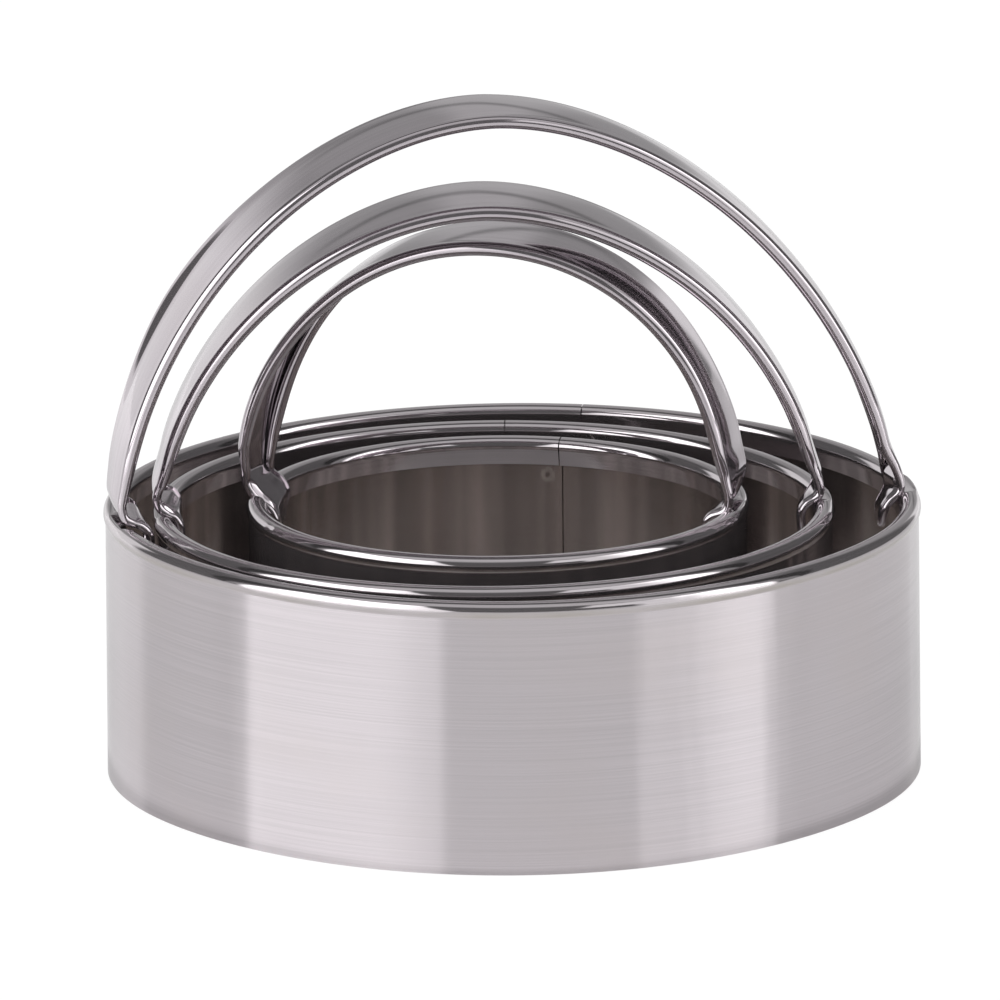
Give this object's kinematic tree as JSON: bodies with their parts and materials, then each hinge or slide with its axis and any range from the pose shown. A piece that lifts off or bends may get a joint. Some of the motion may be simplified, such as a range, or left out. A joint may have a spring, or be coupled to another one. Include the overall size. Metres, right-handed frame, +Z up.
{
  "type": "nested biscuit cutters",
  "caption": "Nested round biscuit cutters in thin stainless steel, each with a curled rim and an arched strap handle; they lift off one by one.",
  "frame": {"origin": "centre of the large ring at its cutting edge, on the surface the nest stands on", "axes": "+Z up, +X to the right along the handles as pictured, -Y towards the viewer"},
  "size_m": [0.0964, 0.0964, 0.0811],
  "materials": {
    "ring_steel": "polished stainless strip with a faint grain along it",
    "handle_steel": "polished stainless strap"
  },
  "bodies": {
    "small_cutter": {"small_ring": "ring_steel", "small_handle": "handle_steel"},
    "medium_cutter": {"medium_ring": "ring_steel", "medium_handle": "handle_steel"},
    "large_cutter": {"large_ring": "ring_steel", "large_handle": "handle_steel"}
  },
  "joints": [
    {"name": "medium_lift", "type": "slide", "parent": "small_cutter", "child": "medium_cutter", "axis": [0, 0, 1], "range_m": [0, 0.07]},
    {"name": "large_lift", "type": "slide", "parent": "medium_cutter", "child": "large_cutter", "axis": [0, 0, 1], "range_m": [0, 0.08]}
  ]
}
